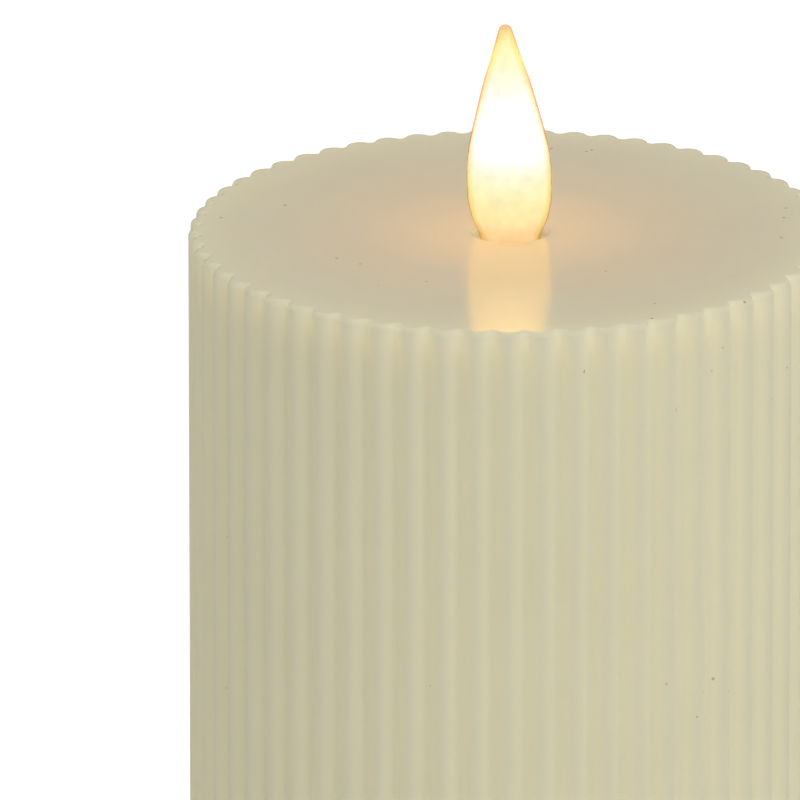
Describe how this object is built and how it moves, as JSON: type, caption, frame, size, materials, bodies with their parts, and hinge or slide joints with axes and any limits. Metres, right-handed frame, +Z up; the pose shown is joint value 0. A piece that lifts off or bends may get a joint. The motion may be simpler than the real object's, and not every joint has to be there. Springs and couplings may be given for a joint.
{
  "type": "flameless led pillar candle",
  "caption": "Ribbed ivory wax pillar candle with a hollow lit flame that presses down to switch it, and a base with a battery door and a slide switch.",
  "frame": {"origin": "on the table under the candle's axis, level with the rubber feet", "axes": "+Z up along the candle's axis, -Y towards the front, +X towards the battery door's hinge"},
  "size_m": [0.089, 0.089, 0.1569],
  "materials": {
    "wax": "polished ivory wax",
    "flame_plastic": "translucent satin",
    "white_plastic": "satin",
    "ivory_plastic": "fine texture",
    "black_plastic": "satin",
    "lamp_epoxy": "clear tinted",
    "circuit_board": "solder mask",
    "chip_black": "moulded",
    "capacitor_sleeve": "shrink sleeve",
    "resistor_tan": "lacquer",
    "tinned_metal": "tinned",
    "nickel_steel": "nickel plated",
    "zinc_screw": "zinc plated",
    "cell_wrap": "plastic wrapped can",
    "rubber": "matte",
    "red_insulation": "insulated wire",
    "yellow_insulation": "insulated wire",
    "black_insulation": "insulated wire"
  },
  "bodies": {
    "candle": {"wax_shell": "wax", "inner_liner": "ivory_plastic", "plunger_spring": "nickel_steel", "flame_guide": "white_plastic", "guide_screws": "zinc_screw", "led_lamp": "lamp_epoxy", "led_leads": "tinned_metal", "led_stem": "white_plastic", "control_board": "circuit_board", "board_screws": "zinc_screw", "push_switch_body": "black_plastic", "controller_chip": "chip_black", "chip_legs": "tinned_metal", "smoothing_capacitor": "capacitor_sleeve", "resistors": "resistor_tan", "battery_housing": "ivory_plastic", "battery_cell_1": "cell_wrap", "battery_cell_2": "cell_wrap", "bridge_contact": "nickel_steel", "positive_contact": "nickel_steel", "negative_contact": "nickel_steel", "bridge_spring": "nickel_steel", "negative_spring": "nickel_steel", "slide_switch_body": "black_plastic", "slide_switch_terminals": "tinned_metal", "jumper_lead": "red_insulation", "on_lead": "red_insulation", "timer_lead": "yellow_insulation", "negative_lead": "black_insulation", "rubber_feet": "rubber", "base_screws": "zinc_screw"},
    "flame": {"flame_bulb": "flame_plastic", "flame_plunger": "white_plastic"},
    "button": {"push_switch_button": "white_plastic"},
    "door": {"battery_door": "ivory_plastic"},
    "knob": {"slide_switch_knob": "black_plastic"}
  },
  "joints": [
    {"name": "flame_press", "type": "slide", "parent": "candle", "child": "flame", "axis": [0, 0, -1], "range_m": [0, 0.0012], "stiffness_N_per_m": 400, "springref_m": -0.002, "deforming": ["plunger_spring"]},
    {"name": "button_press", "type": "slide", "parent": "candle", "child": "button", "axis": [0, 0, -1], "range_m": [0, 0.0012]},
    {"name": "switch_slide", "type": "slide", "parent": "candle", "child": "knob", "axis": [1, 0, 0], "range_m": [0, 0.004]},
    {"name": "door_hinge", "type": "hinge", "parent": "candle", "child": "door", "pos_m": [0.0292, 0, 0.0026], "axis": [0, -1, 0], "range_deg": [0, 95]}
  ],
  "couplings": [
    {"joint": "button_press", "follows": "flame_press", "ratio": 1}
  ]
}
